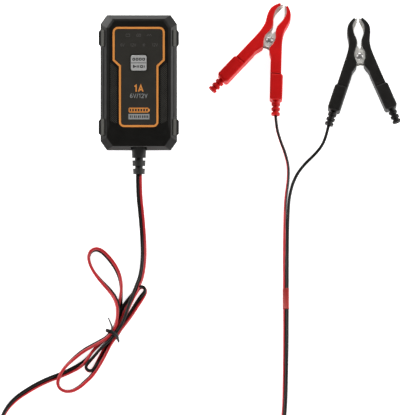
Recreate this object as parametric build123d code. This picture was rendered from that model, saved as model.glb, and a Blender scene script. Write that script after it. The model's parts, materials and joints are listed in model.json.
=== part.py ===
from build123d import *
import os
from math import atan, cos, degrees, radians, sin, tan

# A plug-in battery charger with its low-voltage lead and two crocodile clips.
# Millimetres and degrees. The row frame has its floor at z = 0 and its origin under the
# middle of the charger. The charger rests on the tips of its three pins.

# The charger's own frame: X to the right, Y up the face, Z out of the face, origin at the
# middle of the back.
CASE_HALF_X, CASE_HALF_Y, CASE_DEPTH = 30.4, 53.7, 36.0
CORNER_X, CORNER_Y = 5.0, 7.2
WALL = 2.0
SPLIT_Z = 14.0
BEVEL_Z, BEVEL_SIDE, BEVEL_END = 31.0, 4.8, 3.2
FACE_RIM_Z = 35.3
BACK_EDGE = 1.6
BACK_THICK = 2.5
FRONT_INSIDE_Z = 33.4
RECESS_Z = 34.8
BOSS_X, BOSS_Y, BOSS_R = 23.4, 43.4, 3.4
PCB_BACK_Z, PCB_FRONT_Z = 24.4, 26.0
PCB_HOLES = [(-22.4, 33.5), (22.4, 33.5), (-22.4, -10.0), (22.4, -10.0)]

# The face insert: a wide upper part with the indicators and a narrow lower part.
TRIM_WIDE_X, TRIM_NARROW_X = 20.7, 15.7
TRIM_TOP_Y, TRIM_SHOULDER_Y, TRIM_WAIST_Y, TRIM_BOTTOM_Y = 44.2, 17.6, 12.8, -35.4
TRIM_CORNER_R, TRIM_WIDTH, TRIM_PROUD = 4.3, 1.6, 0.2
LAMPS = [(-8.6, 37.7), (0.0, 37.7), (8.3, 37.7)]
LAMPS += [(-12.9, 29.9), (-4.4, 29.9), (4.1, 29.9), (12.8, 29.9)]
LAMP_WINDOW = 4.0
BUTTON_X, BUTTON_Y, BUTTON_R = 12.4, 12.1, 1.6
BUTTON_AT_Y, BUTTON_TOP_Z, BUTTON_GAP = 15.6, 37.0, 0.25
GRIP_TOP_Y, GRIP_BOTTOM_Y, GRIP_IN_X, GRIP_OUT_X, GRIP_DEEP = 11.5, -33.3, 16.9, 23.0, 0.4

# The bumpers that stand out of the two long sides.
BUMPER_IN_Y, BUMPER_OUT_Y, BUMPER_X = 28.8, 42.0, 31.9

# The mains pins, to the standard three-pin plug. The earth pin is the longer one.
EARTH_X, EARTH_Y, EARTH_LENGTH = 4.0, 8.0, 22.73
LINE_X, LINE_Y, LINE_LENGTH = 6.35, 4.0, 17.7
LINE_PITCH, ROW_PITCH = 22.2, 22.23
EARTH_AT_Y = 8.0
LINE_AT_Y = EARTH_AT_Y - ROW_PITCH
PIN_BEVEL = 1.0
SLEEVE_LENGTH, SLEEVE_THICK = 9.5, 0.5
CARRIER_X, CARRIER_Y, CARRIER_AT_Y, CARRIER_LIP, CARRIER_TOP_Z = 30.0, 34.0, -3.1, 1.5, 5.0

# The strain relief in the lower end of the case.
GLAND_Z, GLAND_END_Y = 16.0, -72.7
NOTCH_HALF_X, NOTCH_FLOOR_Z, NOTCH_Y = 6.4, 9.4, -50.9
BLOCK_Y = -47.5

# Where the charger stands: on the far edge of the line pins and the near edge of the earth pin.
EARTH_EDGE_Y = EARTH_AT_Y - EARTH_Y / 2 + PIN_BEVEL
LINE_EDGE_Y = LINE_AT_Y - LINE_Y / 2 + PIN_BEVEL
TILT = degrees(atan((EARTH_LENGTH - LINE_LENGTH) / (EARTH_EDGE_Y - LINE_EDGE_Y)))
STAND_Y = 11.9
STAND_Z = LINE_LENGTH * cos(radians(TILT)) - LINE_EDGE_Y * sin(radians(TILT))
STAND = Pos(0, STAND_Y, STAND_Z) * Rot(X=TILT)

# A crocodile clip's own frame: rivet at the origin along Z, jaws towards +Y. These are the
# outlines of its right half. The handle's places are measured along it and across it.
COVER_HALF_Z, COVER_WALL, COVER_ROUND = 6.5, 1.2, 1.0
STEEL = 0.8
FLANGE_OUTER_Z, FLANGE_INNER_Z = 5.0, 4.1
JAW_BACK = [(3.0, 32.2), (5.9, 29.5), (8.4, 25.9), (9.3, 22.1), (9.2, 18.0), (8.5, 12.6), (8.8, 8.4)]
JAW_BACK += [(10.1, 3.0)]
JAW_MOUTH = [(4.9, -10.7), (3.5, -8.7), (2.8, -6.9), (2.9, -5.3), (3.5, -3.5), (4.3, -0.2), (4.1, 3.2)]
JAW_MOUTH += [(2.8, 6.8), (1.9, 11.1), (2.1, 13.6), (3.6, 17.6), (4.4, 21.1), (4.6, 25.0), (3.6, 28.3)]
JAW_MOUTH += [(2.1, 30.4)]
STEEL_BACK = [(0.8, 32.1), (5.0, 28.4), (7.2, 25.2), (8.0, 21.9), (7.95, 18.1), (7.25, 12.7), (7.55, 8.3)]
STEEL_BACK += [(8.9, 2.7)]
STEEL_MOUTH = [(3.4, -2.0), (3.2, 3.2), (2.3, 7.0), (1.55, 11.1), (1.8, 13.6), (3.3, 17.6), (4.0, 21.1)]
STEEL_MOUTH += [(3.3, 25.0), (1.8, 28.4), (0.5, 31.3)]
TEETH, TOOTH_START, TOOTH_STEP, TOOTH_ANGLE, TOOTH_CUT = 6, (0.45, 30.8), (0.46, -1.06), 23.0, 0.7
EAR_R = 5.6
HANDLE_AT, HANDLE_ANGLE, HANDLE_W = (11.1, -25.7), 20.35, 8.9
HANDLE_NECK, ARCH_END = 20.0, 11.0
STEEL_END = 14.0
BOOT_W, BOOT_LENGTH, BOOT_ROUND, BOOT_CORNER = 10.3, 21.5, 1.5, 2.2
TAIL_ACROSS, TAIL_LENGTH, TAIL_R, RIB_R, RIB_W, RIB_PITCH = 5.15, 12.0, 2.4, 3.5, 2.0, 4.0
RIVET_R, RIVET_HEAD_R, RIVET_HEAD_H, RIVET_CLEARANCE = 2.0, 3.0, 1.2, 0.06
SPRING_R, SPRING_WIRE_R, SPRING_HALF_Z = 2.85, 0.5, 3.0
RED_CLIP = Pos(104.4, 50.8, COVER_HALF_Z) * Rot(Z=-22.0)
BLACK_CLIP = Pos(177.2, 37.4, COVER_HALF_Z) * Rot(Z=2.3)

# The lead: a flat pair of cores, modelled as one round tube, then the two cores apart.
LEAD_D, CORE_D = 5.0, 2.5
FORK = (118.2, -82.2, 2.5)
UPPER_ROUTE = [(0.0, -77.0, 15.24), (1.9, -93.0, 9.4), (3.4, -110.5, 4.4), (3.9, -127.5, 2.5)]
UPPER_ROUTE += [(1.9, -142.5, 2.5), (-2.6, -154.6, 2.5)]
LOWER_ROUTE = [(-60.0, -222.0, 2.5), (-75.1, -227.8, 2.5), (-88.7, -235.6, 2.5), (-99.2, -243.3, 2.5)]
LOWER_ROUTE += [(-106.9, -253.4, 2.5), (-111.4, -267.5, 2.5), (-110.6, -286.5, 2.5)]
LOWER_ROUTE += [(-101.0, -306.0, 2.5), (-80.5, -323.0, 2.5), (-52.0, -335.5, 2.5), (-19.0, -341.0, 2.5)]
LOWER_ROUTE += [(16.0, -340.0, 2.5), (50.0, -333.0, 2.5), (79.5, -319.5, 2.5), (101.0, -300.5, 2.5)]
LOWER_ROUTE += [(112.6, -277.5, 2.5), (115.8, -252.0, 2.5), (116.5, -224.5, 2.6), (117.1, -189.0, 2.9)]
LOWER_ROUTE += [(117.1, -138.0, 2.9), (117.4, -107.0, 2.5), FORK]
RED_ROUTE = [(110.0, -20.4, 5.4), (113.0, -30.6, 3.1), (117.0, -40.6, 1.6), (119.6, -51.4, 1.25)]
RED_ROUTE += [(119.4, -62.6, 1.25), (117.9, -72.9, 1.7), (116.9, -82.2, 2.5)]
BLACK_ROUTE = [(149.9, -27.2, 4.9), (146.4, -35.2, 2.8), (140.5, -42.0, 1.5), (133.6, -48.6, 1.25)]
BLACK_ROUTE += [(127.4, -56.2, 1.25), (123.2, -64.8, 1.25), (120.9, -73.6, 1.7), (119.5, -82.2, 2.5)]
SLEEVE_ON_LEAD_Y, SLEEVE_ON_LEAD_X, SLEEVE_ON_LEAD_L = -160.7, 117.1, 17.0
SLEEVE_ON_LEAD_R, SLEEVE_ON_LEAD_Z = 2.9, 2.9

# The hank: three bunches of loops that fan out from the tie. Each bunch is the hull of its
# circles (x, y, radius).
TIE_AT, TIE_ANGLE = (-20.3, -190.6), 54.0
HANK_HIGH = 6.0
BUNCH_LONG, BUNCH_WIDE, BUNCH_HIGH, TIE_THICK, TIE_WIDE = 16.0, 8.6, 8.6, 0.9, 2.4
UPPER_LEFT_LOOP = [(-17.6, -183.0, 3.6), (-18.6, -143.5, 6.5), (-28.5, -127.5, 7.5), (-35.0, -124.5, 7.5)]
UPPER_RIGHT_LOOP = [(-15.6, -184.6, 3.6), (-8.0, -164.0, 5.0), (1.6, -156.2, 6.0)]
LOWER_LOOPS = [(-24.4, -196.4, 3.8), (-45.5, -206.5, 5.5), (-58.0, -224.0, 9.5), (-57.0, -230.5, 9.5)]
LOWER_LOOPS += [(-44.0, -227.0, 8.5)]


def block(x0, x1, y0, y1, z0, z1):
    """A box between two corners."""
    middle = Pos((x0 + x1) / 2, (y0 + y1) / 2, (z0 + z1) / 2)
    return middle * Box(x1 - x0, y1 - y0, z1 - z0)


def post(x, y, z0, z1, radius):
    """An upright cylinder."""
    return Pos(x, y, (z0 + z1) / 2) * Cylinder(radius, z1 - z0)


def round_y(x, z, y0, y1, radius0, radius1=None):
    """A cylinder, or a cone, along Y from y0 to y1."""
    section0 = Plane(origin=(x, y0, z), z_dir=(0, 1, 0)) * Circle(radius0)
    section1 = Plane(origin=(x, y1, z), z_dir=(0, 1, 0)) * Circle(radius1 or radius0)
    return loft([section0, section1])


def prism(plan, z0, z1):
    """A plan face raised from z0 to z1."""
    return extrude(Pos(0, 0, z0) * plan, z1 - z0, dir=(0, 0, 1))


def outline(points):
    """The face inside a closed run of straight lines."""
    return make_face(Polyline(*points, close=True))


def rod(start, end, radius):
    """A straight round bar between two points."""
    path = Line(start, end)
    return sweep(Plane(origin=start, z_dir=path % 0) * Circle(radius), path=path)


def octagon(inset_x, inset_y):
    """The case's outline with its corners cut, drawn in from the outside by the insets."""
    x, y = CASE_HALF_X - inset_x, CASE_HALF_Y - inset_y
    right = [(x - CORNER_X, -y), (x, CORNER_Y - y), (x, y - CORNER_Y), (x - CORNER_X, y)]
    return outline(right + [(-a, b) for a, b in reversed(right)])


def face_plateau():
    """The flat middle of the face, cut back at its two lower corners."""
    right = [(14.8, -42.1), (23.4, -34.1), (23.4, 43.6), (19.4, 48.9)]
    return outline(right + [(-a, b) for a, b in reversed(right)])


def sloped(plan0, z0, plan1, z1):
    """The solid between two outlines with the same number of corners."""
    return loft([Pos(0, 0, z0) * plan0, Pos(0, 0, z1) * plan1], ruled=True)


def case_outside():
    """The whole case as one block, before it is hollowed and split."""
    body = sloped(octagon(BACK_EDGE, BACK_EDGE), 0, octagon(0, 0), BACK_EDGE)
    body += prism(octagon(0, 0), BACK_EDGE, BEVEL_Z)
    body += sloped(octagon(0, 0), BEVEL_Z, octagon(BEVEL_SIDE, BEVEL_END), FACE_RIM_Z)
    return body + sloped(octagon(BEVEL_SIDE, BEVEL_END), FACE_RIM_Z, face_plateau(), CASE_DEPTH)


def case_inside():
    """The space inside the case."""
    straight = prism(octagon(WALL, WALL), BACK_THICK, BEVEL_Z - 0.8)
    shoulder = sloped(octagon(WALL, WALL), BEVEL_Z - 0.8, octagon(5.2, 4.3), FRONT_INSIDE_Z)
    return straight + shoulder


def gland_seat():
    """The thick end wall round the strain relief, without its hole."""
    return block(-9.0, 9.0, -CASE_HALF_Y + WALL, BLOCK_Y, BACK_THICK, FRONT_INSIDE_Z)


def gland_hole():
    """The notch for the strain relief's collar and the hole for its neck."""
    notch = block(-NOTCH_HALF_X, NOTCH_HALF_X, -60, NOTCH_Y, NOTCH_FLOOR_Z, CASE_DEPTH + 1)
    return notch + round_y(0, GLAND_Z, NOTCH_Y - 1, BLOCK_Y + 1, 4.4)


def corner_places():
    """The four case screws' places."""
    return [(x, y) for x in (-BOSS_X, BOSS_X) for y in (-BOSS_Y, BOSS_Y)]


def trim_plan(inset):
    """The face insert's outline, drawn in by the inset."""
    right = [(TRIM_NARROW_X, TRIM_BOTTOM_Y), (TRIM_NARROW_X, TRIM_WAIST_Y)]
    right += [(TRIM_WIDE_X, TRIM_SHOULDER_Y), (TRIM_WIDE_X, TRIM_TOP_Y)]
    plan = outline(right + [(-x, y) for x, y in reversed(right)])
    ends = plan.vertices().sort_by(Axis.Y)
    plan = fillet(ends[:2] + ends[-2:], TRIM_CORNER_R)
    return offset(plan, -inset, kind=Kind.INTERSECTION) if inset else plan


def button_plan(grow):
    """The mode button's rounded square, grown all round."""
    square = RectangleRounded(BUTTON_X + 2 * grow, BUTTON_Y + 2 * grow, BUTTON_R + grow)
    return Pos(0, BUTTON_AT_Y) * square


def grip_plan(side):
    """The outline of one ribbed grip beside the lower panel."""
    top = [(GRIP_OUT_X, GRIP_TOP_Y + 5.5), (GRIP_IN_X, GRIP_TOP_Y)]
    low = [(GRIP_IN_X, GRIP_BOTTOM_Y), (GRIP_OUT_X, GRIP_BOTTOM_Y + 2.5)]
    return outline([(side * x, y) for x, y in top + low])


def lamp_block(x, y, z0, z1):
    """The square window of one indicator, or what fills it."""
    half = LAMP_WINDOW / 2
    return block(x - half, x + half, y - half, y + half, z0, z1)


def front_cover():
    """The front shell: walls, bevelled face, recesses, screw bosses and board posts."""
    body = case_outside() & block(-40, 40, -60, 60, SPLIT_Z, CASE_DEPTH + 1)
    body -= case_inside()
    bosses = gland_seat() & block(-40, 40, -60, 60, SPLIT_Z, CASE_DEPTH)
    for x, y in corner_places():
        bosses += post(x, y, SPLIT_Z, FRONT_INSIDE_Z, BOSS_R)
    for x, y in PCB_HOLES:
        bosses += post(x, y, PCB_FRONT_Z, FRONT_INSIDE_Z, 2.4)
    body += bosses & case_outside()
    for x, y in corner_places():
        body -= post(x, y, SPLIT_Z, SPLIT_Z + 8.5, 1.45)
    for x, y in PCB_HOLES:
        body -= post(x, y, PCB_FRONT_Z, PCB_FRONT_Z + 5.0, 0.9)
    body -= gland_hole()
    body -= prism(trim_plan(0), RECESS_Z, CASE_DEPTH + 1)
    body -= prism(button_plan(BUTTON_GAP), FRONT_INSIDE_Z - 1, CASE_DEPTH)
    for x, y in LAMPS:
        body -= lamp_block(x, y, FRONT_INSIDE_Z - 1, RECESS_Z + 1)
    for side in (-1, 1):
        body -= prism(grip_plan(side), CASE_DEPTH - GRIP_DEEP, CASE_DEPTH + 1)
    return body


def rear_cover():
    """The rear shell: back plate with the pin window, locating lip and screw pillars."""
    body = case_outside() & block(-40, 40, -60, 60, 0, SPLIT_Z)
    body -= case_inside()
    lip = prism(octagon(WALL, WALL), SPLIT_Z - 2, SPLIT_Z + 2)
    lip -= prism(octagon(WALL + 1.0, WALL + 1.0), SPLIT_Z - 3, SPLIT_Z + 3)
    lip -= block(-12, 12, -60, -40, SPLIT_Z - 3, SPLIT_Z + 3)
    for x, y in corner_places():
        lip -= post(x, y, SPLIT_Z, SPLIT_Z + 3, BOSS_R + 0.6)
    body += lip
    body += gland_seat() & block(-40, 40, -60, 60, BACK_THICK, SPLIT_Z)
    for x, y in corner_places():
        body += post(x, y, BACK_THICK, SPLIT_Z, BOSS_R)
    for x, y in corner_places():
        body -= post(x, y, 0, 3.0, 2.9)
        body -= post(x, y, 3.0, SPLIT_Z, 1.7)
    body -= gland_hole()
    half_y = CARRIER_Y / 2
    body -= block(-CARRIER_X / 2, CARRIER_X / 2, CARRIER_AT_Y - half_y, CARRIER_AT_Y + half_y, 0, 5)
    return body - prism(label_plan(), 0, 0.4)


def label_plan():
    """The rating plate's outline, above the pins on the back."""
    return Pos(0, 33.0) * RectangleRounded(34.0, 22.0, 1.5)


def rating_plate():
    """The thin metal plate let into the back, left blank."""
    return prism(label_plan(), 0, 0.4)


def bumper(side, end):
    """One bumper, wrapped from the long side over the bevel."""
    slope = (FACE_RIM_Z - BEVEL_Z) / BEVEL_SIDE
    inner_x = 27.0
    inner_z = BEVEL_Z + (CASE_HALF_X - inner_x) * slope
    section = [(CASE_HALF_X, 15.5), (BUMPER_X, 17.0), (BUMPER_X, 31.4), (27.8, inner_z + 0.75)]
    section += [(inner_x, inner_z), (CASE_HALF_X, BEVEL_Z)]
    face = make_face(Plane.XZ * Polyline(*section, close=True))
    body = extrude(Pos(0, BUMPER_IN_Y, 0) * face, BUMPER_OUT_Y - BUMPER_IN_Y, dir=(0, 1, 0))
    low, high = BUMPER_IN_Y, BUMPER_OUT_Y
    plan = [(26.0, low + 1.2), (28.6, low), (CASE_HALF_X, low), (BUMPER_X, low + 1.7)]
    plan += [(BUMPER_X, high - 1.7), (CASE_HALF_X, high), (28.6, high), (26.0, high - 1.2)]
    body &= prism(outline(plan), 0, 40)
    if side < 0:
        body = mirror(body, about=Plane.YZ)
    return mirror(body, about=Plane.XZ) if end < 0 else body


def accent_ring():
    """The coloured line round the face insert."""
    band = prism(trim_plan(0), RECESS_Z, CASE_DEPTH + TRIM_PROUD)
    return band - prism(trim_plan(TRIM_WIDTH), RECESS_Z - 1, CASE_DEPTH + 1)


def front_panel():
    """The dark panel inside the coloured line, with the button's hole."""
    panel = prism(trim_plan(TRIM_WIDTH), RECESS_Z, CASE_DEPTH)
    return panel - prism(button_plan(BUTTON_GAP), RECESS_Z - 1, CASE_DEPTH + 1)


def mode_button():
    """The push button: cap with a groove across it, flange behind the face, and stem."""
    cap = prism(button_plan(0), FRONT_INSIDE_Z - 0.1, BUTTON_TOP_Z)
    cap = fillet(cap.edges().group_by(Axis.Z)[-1], 0.5)
    cap -= block(-8, 8, BUTTON_AT_Y - 0.25, BUTTON_AT_Y + 0.25, BUTTON_TOP_Z - 0.3, BUTTON_TOP_Z + 1)
    cap += prism(button_plan(1.1), FRONT_INSIDE_Z - 1.25, FRONT_INSIDE_Z - 0.05)
    return cap + post(0, BUTTON_AT_Y, 30.3, FRONT_INSIDE_Z - 1.2, 2.5)


def tactile_switch():
    """The switch on the board, with the well that its plunger runs in."""
    body = block(-3.1, 3.1, BUTTON_AT_Y - 3.1, BUTTON_AT_Y + 3.1, PCB_FRONT_Z, 29.5)
    return body - post(0, BUTTON_AT_Y, 27.3, 30, 1.8)


def switch_plunger():
    """The switch's plunger, pushed by the button's stem."""
    return post(0, BUTTON_AT_Y, 28.3, 30.3, 1.75)


def main_pcb():
    """The circuit board, with holes for its screws and for the lead's tails."""
    board = block(-26, 26, -37.5, 38.5, PCB_BACK_Z, PCB_FRONT_Z)
    board += block(-18.5, 18.5, -45, 48, PCB_BACK_Z, PCB_FRONT_Z)
    for x, y in PCB_HOLES:
        board -= post(x, y, PCB_BACK_Z, PCB_FRONT_Z, 1.25)
    return board


def pcb_screws():
    """The four screws that hold the board to its posts."""
    return [
        post(x, y, PCB_BACK_Z - 1.4, PCB_BACK_Z, 2.1) + post(x, y, PCB_BACK_Z, PCB_FRONT_Z + 4.5, 0.9)
        for x, y in PCB_HOLES
    ]


def transformer_core():
    """The ferrite core: a frame with a middle leg."""
    core = block(-12, 8, 0, 18, 14.9, 20.4)
    for x in (-9.5, 0.5):
        core -= block(x, x + 5.0, 3.5, 14.5, 14, 21)
    return core


def transformer_winding():
    """The bobbin and winding round the core's middle leg, standing on the board."""
    coil = block(-9.3, 5.3, 3.7, 14.3, 10.4, PCB_BACK_Z)
    coil -= block(-4.5, 0.5, 3, 15, 14.9, 20.4)
    for x0, x1 in ((-13, -9.3), (5.3, 9)):
        coil -= block(x0, x1, 3, 15, 14, 21)
    return coil


def capacitor(x, y, length, radius):
    """An electrolytic can under the board, with the crimped groove near its foot."""
    can = post(x, y, PCB_BACK_Z - length, PCB_BACK_Z, radius)
    can = fillet(can.edges().sort_by(Axis.Z)[0], 0.8)
    groove_z = PCB_BACK_Z - 2.6
    return can - (post(x, y, groove_z, groove_z + 0.8, radius + 1) - post(x, y, 0, 30, radius - 0.4))


def heatsink():
    """The transistor's heat sink: an upright plate with fins towards the side wall."""
    sink = block(-23, -21, -36, -18, 8, PCB_BACK_Z)
    for y in (-36, -31.4, -26.8, -22.2, -19.2):
        sink += block(-26.4, -23, y, y + 1.2, 8, PCB_BACK_Z)
    return sink


def power_transistor():
    """The power transistor, bolted flat to the heat sink, with its three legs."""
    body = block(-21, -16.6, -32, -22, 12, 20)
    for y in (-29.5, -27, -24.5):
        body += block(-19.4, -18.8, y - 0.4, y + 0.4, 20, PCB_BACK_Z)
    return body


def controller_chip():
    """The charge controller on the board's front, with its eight legs."""
    chip = block(9, 15, -22.5, -17.5, PCB_FRONT_Z + 0.2, PCB_FRONT_Z + 1.7)
    for y in (-22.2, -20.7, -19.2, -17.9):
        chip += block(7.8, 16.2, y - 0.15, y + 0.15, PCB_FRONT_Z, PCB_FRONT_Z + 0.7)
    return chip


def fuse():
    """The mains fuse in its two clips, under the board."""
    tube = Pos(-1, 31.5, 20.2) * Rot(Y=90) * Cylinder(2.3, 20)
    for x in (-8.8, 6.8):
        tube += Pos(x, 31.5, 20.2) * Rot(Y=90) * Cylinder(2.7, 4.6)
        tube += block(x - 1.8, x + 1.8, 31.1, 31.9, 20.2, PCB_BACK_Z)
    return tube


def status_leds():
    """One light-emitting diode behind each indicator."""
    return [block(x - 0.8, x + 0.8, y - 1.5, y + 1.5, PCB_FRONT_Z, PCB_FRONT_Z + 0.9) for x, y in LAMPS]


def light_guide():
    """The clear guide that carries the lamps' light up to the panel."""
    guide = block(-16.5, 16.5, 26.5, 41, 28.6, 30.2)
    for x, y in LAMPS:
        guide += lamp_block(x, y, 30.2, RECESS_Z)
    return guide


def pin_carrier():
    """The block that carries the pins, held behind the rear cover's window."""
    half_x, half_y = CARRIER_X / 2, CARRIER_Y / 2
    low, high, lip = CARRIER_AT_Y - half_y, CARRIER_AT_Y + half_y, CARRIER_LIP
    body = block(-half_x, half_x, low, high, 0, BACK_THICK)
    body += block(-half_x - lip, half_x + lip, low - lip, high + lip, BACK_THICK, CARRIER_TOP_Z)
    body -= earth_pin()
    for x in (-LINE_PITCH / 2, LINE_PITCH / 2):
        body -= line_block(x, 0, 0, 1)
        body -= line_block(x, SLEEVE_THICK, 1, CARRIER_TOP_Z)
    return body


def line_block(x, inset, z0, z1):
    """A length of a line pin's section, drawn in by the inset."""
    half_x, half_y = LINE_X / 2 - inset, LINE_Y / 2 - inset
    return block(x - half_x, x + half_x, LINE_AT_Y - half_y, LINE_AT_Y + half_y, z0, z1)


def line_pin(x):
    """A live or neutral pin: a bare tip and a thinner root for the sleeve."""
    tip = line_block(x, 0, -LINE_LENGTH, -SLEEVE_LENGTH)
    tip = chamfer(tip.edges().group_by(Axis.Z)[0], PIN_BEVEL)
    return tip + line_block(x, SLEEVE_THICK, -SLEEVE_LENGTH, 8)


def earth_pin():
    """The long earth pin that opens the socket's shutters."""
    half_x, half_y = EARTH_X / 2, EARTH_Y / 2
    pin = block(-half_x, half_x, EARTH_AT_Y - half_y, EARTH_AT_Y + half_y, -EARTH_LENGTH, CARRIER_TOP_Z)
    return chamfer(pin.edges().group_by(Axis.Z)[0], PIN_BEVEL)


def pin_sleeves():
    """The insulating sleeves on the roots of the live and neutral pins."""
    places = (-LINE_PITCH / 2, LINE_PITCH / 2)
    return [line_block(x, 0, -SLEEVE_LENGTH, 1) - line_block(x, SLEEVE_THICK, -20, 8) for x in places]


def mains_contacts():
    """The two brass strips from the pins' inner ends up to the board."""
    low = LINE_AT_Y - LINE_Y / 2 + SLEEVE_THICK
    places = (-LINE_PITCH / 2, LINE_PITCH / 2)
    return [block(x - 1.8, x + 1.8, low - 0.7, low, CARRIER_TOP_Z, PCB_BACK_Z) for x in places]


def case_screws():
    """The four long screws from the back, with hexagon sockets."""
    screws = []
    for x, y in corner_places():
        screw = post(x, y, 1.0, 3.0, 2.6) + post(x, y, 3.0, SPLIT_Z + 8.0, 1.45)
        screws.append(screw - prism(Pos(x, y) * RegularPolygon(1.3, 6), 0.5, 2.2))
    return screws


def cable_gland():
    """The moulded strain relief: inner flange, neck, collar and two softer segments."""
    gland = round_y(0, GLAND_Z, BLOCK_Y, -45.5, 6.4) + round_y(0, GLAND_Z, NOTCH_Y, BLOCK_Y, 4.4)
    gland += round_y(0, GLAND_Z, -59.7, NOTCH_Y, 5.45, 5.8)
    gland += round_y(0, GLAND_Z, -61.7, -59.7, 3.3)
    gland += round_y(0, GLAND_Z, -66.2, -61.7, 5.1, 5.25)
    gland += round_y(0, GLAND_Z, -68.2, -66.2, 3.1)
    return gland + round_y(0, GLAND_Z, GLAND_END_Y, -68.2, 4.6, 4.85)


def output_tails():
    """The lead's two bared tails, from the strain relief up to the board."""
    tails = []
    for x in (-2.0, 2.0):
        start, corner = (x, -45.5, GLAND_Z), (x, -40.5, GLAND_Z)
        path = FilletPolyline(start, corner, (x, -40.5, PCB_BACK_Z), radius=3)
        tails.append(sweep(Plane(origin=start, z_dir=path % 0) * Circle(1.1), path=path))
    return tails


def on_handle(along, across):
    """A place on a clip's right handle, from the inner end of its grip."""
    a = radians(HANDLE_ANGLE)
    x = HANDLE_AT[0] + along * sin(a) + across * cos(a)
    return x, HANDLE_AT[1] - along * cos(a) + across * sin(a)


def half_plan(back, mouth, back_in, mouth_in, end, neck=HANDLE_NECK):
    """The plan of a clip's right half: curved jaw and neck, straight handle."""
    lines = Spline(*back, on_handle(-HANDLE_NECK, HANDLE_W - back_in))
    lines += Line(lines @ 1, on_handle(end, HANDLE_W - back_in))
    lines += Line(on_handle(end, HANDLE_W - back_in), on_handle(end, mouth_in))
    lines += Line(on_handle(end, mouth_in), on_handle(-neck, mouth_in))
    lines += Spline(on_handle(-neck, mouth_in), *mouth)
    lines += Line(mouth[-1], back[0])
    return make_face(lines)


def cover_plan():
    """The plastic cover's plan. Its inner edge curls in under the ear and makes half an arch."""
    return half_plan(JAW_BACK, JAW_MOUTH, 0, 0, 0, ARCH_END)


def steel_plan():
    """The steel half's plan, without its ear."""
    return half_plan(STEEL_BACK, STEEL_MOUTH, COVER_WALL, COVER_WALL, STEEL_END)


def ear_plan():
    """The ear round the rivet and its root on the half."""
    root = outline([(1.6, 8.3), (5.5, 8.3), (7.0, 0), (7.0, -7.0), (4.6, -6.4), (0, -EAR_R), (0, EAR_R)])
    return Circle(EAR_R) + root


def channel_plan():
    """The space inside the steel half, which leaves its upright web along the back."""
    back = [(x - STEEL, y - STEEL / 2) for x, y in STEEL_BACK]
    mouth = [(x - STEEL, y) for x, y in STEEL_MOUTH]
    return half_plan(back, mouth, COVER_WALL + STEEL, COVER_WALL - STEEL, STEEL_END + 1)


def jaw_teeth():
    """The notches that leave teeth along the mouth's edge, near the tip."""
    cuts = []
    for i in range(TEETH):
        x, y = TOOTH_START[0] + TOOTH_STEP[0] * i, TOOTH_START[1] + TOOTH_STEP[1] * i
        cuts.append(Pos(x, y) * Rot(Z=TOOTH_ANGLE) * Box(TOOTH_CUT, TOOTH_CUT, 20))
    return cuts


def steel_half(flange_z, hole_r):
    """A clip half bent from sheet: two flanges, a web along the back, teeth and ears."""
    plan = steel_plan() + ear_plan()
    steel = prism(plan, flange_z - STEEL, flange_z) + prism(plan, -flange_z, STEEL - flange_z)
    steel += prism(steel_plan(), -flange_z, flange_z) - prism(channel_plan(), -10, 10)
    for cut in jaw_teeth():
        steel -= cut
    return steel - Cylinder(hole_r, 20)


def clip_cover(flange_z, ear_room):
    """The soft cover of one half, open along the mouth and closed round the handle."""
    cover = prism(cover_plan(), -COVER_HALF_Z, COVER_HALF_Z)
    tip = cover.edges().filter_by(Axis.Z).sort_by(Axis.Y)[-2:]
    cover = fillet(tip, 0.8)
    rims = cover.edges().group_by(Axis.Z)
    cover = fillet(rims[0] + rims[-1], COVER_ROUND)
    cover -= prism(steel_plan() + ear_plan(), -flange_z, flange_z)
    return cover - Cylinder(EAR_R + 1.2, 2 * ear_room)


def clip_boot(flange_z):
    """The boot over a handle's end, with its ribbed tail."""
    boot = block(0, BOOT_W, -BOOT_LENGTH, 0, -COVER_HALF_Z, COVER_HALF_Z)
    upright = boot.edges().filter_by(Axis.Z)
    shoulder = upright.sort_by(Axis.X)[-2:]
    boot = fillet(shoulder + upright.sort_by(Axis.Y)[:1], BOOT_CORNER)
    rims = boot.edges().group_by(Axis.Z)
    boot = fillet(rims[0] + rims[-1], BOOT_ROUND)
    boot -= block(COVER_WALL, HANDLE_W - COVER_WALL, -STEEL_END, 1, -flange_z, flange_z)
    boot -= round_y(TAIL_ACROSS, 0, -BOOT_LENGTH + 1, -STEEL_END + 1, 2.0)
    tail_end = -BOOT_LENGTH - TAIL_LENGTH
    boot += round_y(TAIL_ACROSS, 0, tail_end, -BOOT_LENGTH, TAIL_R)
    for i in range(3):
        y = -BOOT_LENGTH - 1.8 - RIB_PITCH * i
        boot += round_y(TAIL_ACROSS, 0, y - RIB_W, y, RIB_R)
    boot -= round_y(TAIL_ACROSS, 0, tail_end, -BOOT_LENGTH + 1, CORE_D / 2)
    return Pos(*HANDLE_AT) * Rot(Z=HANDLE_ANGLE) * boot


def clip_rivet():
    """The solid rivet, with a domed head over each face."""
    rivet = Cylinder(RIVET_R, 2 * FLANGE_OUTER_Z)
    dome_r = (RIVET_HEAD_R ** 2 + RIVET_HEAD_H ** 2) / (2 * RIVET_HEAD_H)
    dome = Pos(0, 0, RIVET_HEAD_H - dome_r) * Sphere(dome_r)
    dome &= post(0, 0, 0, RIVET_HEAD_H + 1, RIVET_HEAD_R)
    for turn in (0, 180):
        rivet += Rot(X=turn) * Pos(0, 0, FLANGE_OUTER_Z) * dome
    return rivet


def clip_spring():
    """The torsion spring: its coil round the rivet and an arm into each handle."""
    spring = Cylinder(SPRING_R + SPRING_WIRE_R, 2 * SPRING_HALF_Z)
    spring -= Cylinder(SPRING_R - SPRING_WIRE_R, 20)
    for side, z in ((-1, -SPRING_HALF_Z + 0.6), (1, SPRING_HALF_Z - 0.6)):
        spring += rod((side * SPRING_R, 0, z), (side * 15.2, -19.5, z), SPRING_WIRE_R)
    return spring


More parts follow.
